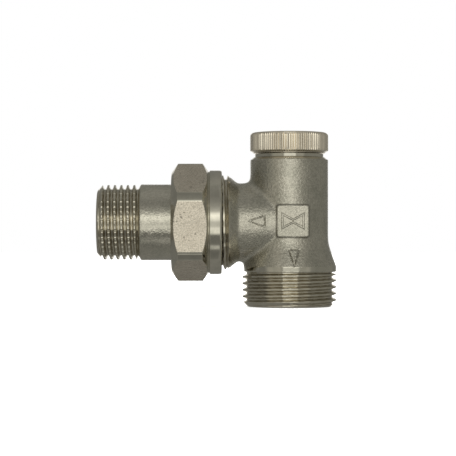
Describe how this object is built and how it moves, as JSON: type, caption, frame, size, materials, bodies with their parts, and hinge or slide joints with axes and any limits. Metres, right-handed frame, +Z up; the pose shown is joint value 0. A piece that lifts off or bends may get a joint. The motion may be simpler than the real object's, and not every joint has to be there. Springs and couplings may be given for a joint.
{
  "type": "angle lockshield radiator valve",
  "caption": "Angle radiator lockshield valve: forged body, lower external-thread port, side union with hexagon nut and tailpiece, screwed spindle under a knurled cap.",
  "frame": {"origin": "centre of the lower port's end face, on the spindle axis", "axes": "+Z up the spindle axis towards the cap, -X out along the union and tailpiece, and the pad and flow arrows on the -Y side"},
  "size_m": [0.0669, 0.031, 0.0488],
  "materials": {
    "nickel_forged": "nickel-plated, shot-blasted forging",
    "nickel_turned": "nickel-plated, turned",
    "raw_brass": "turned, unplated",
    "epdm_rubber": "moulded, matt",
    "spring_steel": "drawn wire"
  },
  "bodies": {
    "valve_body": {"body": "nickel_forged", "bonnet": "nickel_turned", "bonnet_o_ring": "epdm_rubber", "stop_washer": "raw_brass", "spindle_circlip": "spring_steel"},
    "plug": {"plug": "raw_brass", "plug_seal": "epdm_rubber", "plug_washer": "raw_brass", "plug_screw": "raw_brass"},
    "spindle": {"spindle": "nickel_turned", "spindle_o_ring_upper": "epdm_rubber", "spindle_o_ring_lower": "epdm_rubber", "spindle_clip": "spring_steel"},
    "cap_seal": {"cap_seal": "epdm_rubber"},
    "cap": {"cap": "nickel_turned"},
    "slip_washer": {"slip_washer": "raw_brass"},
    "union_nut": {"union_nut": "nickel_turned"},
    "tailpiece": {"tailpiece": "nickel_turned", "tailpiece_o_ring": "epdm_rubber"}
  },
  "joints": [
    {"name": "plug_lift", "type": "slide", "parent": "valve_body", "child": "plug", "axis": [0, 0, 1], "range_m": [0, 0.003]},
    {"name": "spindle_turn", "type": "hinge", "parent": "plug", "child": "spindle", "pos_m": [0, 0, 0.036], "axis": [0, 0, 1], "range_deg": [0, 1080]},
    {"name": "cap_lift", "type": "slide", "parent": "valve_body", "child": "cap_seal", "axis": [0, 0, 1], "range_m": [0, 0.0035]},
    {"name": "cap_turn", "type": "hinge", "parent": "cap_seal", "child": "cap", "pos_m": [0, 0, 0.046], "axis": [0, 0, 1], "range_deg": [0, 1260]},
    {"name": "nut_travel", "type": "slide", "parent": "valve_body", "child": "slip_washer", "axis": [-1, 0, 0], "range_m": [0, 0.00798]},
    {"name": "nut_turn", "type": "hinge", "parent": "slip_washer", "child": "union_nut", "pos_m": [-0.0264, 0, 0.0236], "axis": [-1, 0, 0], "range_deg": [0, 1584]},
    {"name": "tailpiece_swivel", "type": "hinge", "parent": "valve_body", "child": "tailpiece", "pos_m": [-0.04, 0, 0.0236], "axis": [-1, 0, 0], "continuous": true}
  ],
  "couplings": [
    {"joint": "plug_lift", "follows": "spindle_turn", "m_per_rad": 0.00015915},
    {"joint": "cap_lift", "follows": "cap_turn", "m_per_rad": 0.00015915},
    {"joint": "nut_travel", "follows": "nut_turn", "m_per_rad": 0.00028871}
  ]
}
